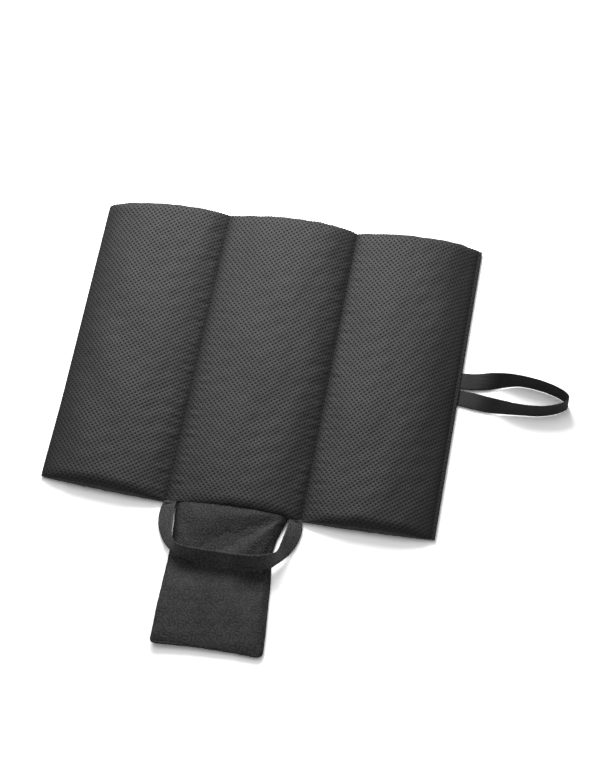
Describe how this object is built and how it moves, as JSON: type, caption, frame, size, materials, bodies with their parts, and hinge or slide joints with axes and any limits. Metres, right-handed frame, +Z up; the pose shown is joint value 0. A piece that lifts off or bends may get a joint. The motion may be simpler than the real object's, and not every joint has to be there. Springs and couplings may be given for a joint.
{
  "type": "folding gym mat",
  "caption": "Padded mat in a row of crowned mesh panels that fold over each other, with a side elastic loop, and a flat pouch and a carry strap at the front.",
  "frame": {"origin": "centre of the mat's underside, on the surface that it lies on", "axes": "+X towards the elastic loop, +Y away from the pouch, +Z up out of the padded face"},
  "size_m": [0.5119, 0.5076, 0.0233],
  "materials": {
    "spacer_mesh": "matte open knit with a diamond pattern of small holes",
    "woven_cloth": "matte, fine plain weave",
    "elastic": "matte, fine crosswise ribs",
    "foam": "matte, fine cells",
    "thread": "slightly glossy twisted thread"
  },
  "bodies": {
    "middle_panel": {"base_cloth_middle": "woven_cloth", "foam_pad_middle": "foam", "mesh_cover_middle": "spacer_mesh", "edge_stitching_middle": "thread", "fold_seam_left": "spacer_mesh", "fold_seam_right": "spacer_mesh", "fold_stitching_left": "thread", "fold_stitching_right": "thread"},
    "left_panel": {"base_cloth_left": "woven_cloth", "foam_pad_left": "foam", "mesh_cover_left": "spacer_mesh", "edge_stitching_left": "thread"},
    "right_panel": {"base_cloth_right": "woven_cloth", "foam_pad_right": "foam", "mesh_cover_right": "spacer_mesh", "edge_stitching_right": "thread", "loop_bartack": "thread"},
    "pouch": {"pouch_front": "woven_cloth", "pouch_back": "woven_cloth", "pouch_mouth_hem": "woven_cloth", "pouch_side_seam": "woven_cloth"},
    "handle": {"handle_strap": "woven_cloth", "handle_bartack_left": "thread", "handle_bartack_right": "thread"},
    "loop": {"elastic_loop": "elastic"}
  },
  "joints": [
    {"name": "left_fold", "type": "hinge", "parent": "middle_panel", "child": "left_panel", "pos_m": [-0.07, 0, 0.0163], "axis": [0, 1, 0], "range_deg": [0, 179.5]},
    {"name": "right_fold", "type": "hinge", "parent": "middle_panel", "child": "right_panel", "pos_m": [0.067, 0, 0.0248], "axis": [0, -1, 0], "range_deg": [0, 179.5]},
    {"name": "pouch_fold", "type": "hinge", "parent": "middle_panel", "child": "pouch", "pos_m": [0, -0.1765, 0.0035], "axis": [1, 0, 0], "range_deg": [-60, 0]},
    {"name": "handle_swing", "type": "hinge", "parent": "pouch", "child": "handle", "pos_m": [0, -0.1765, 0.0035], "axis": [-1, 0, 0], "range_deg": [0, 60]},
    {"name": "loop_swing", "type": "hinge", "parent": "right_panel", "child": "loop", "pos_m": [0.2008, 0.004, 0.0035], "axis": [0, 1, 0], "range_deg": [-75, 0]}
  ]
}
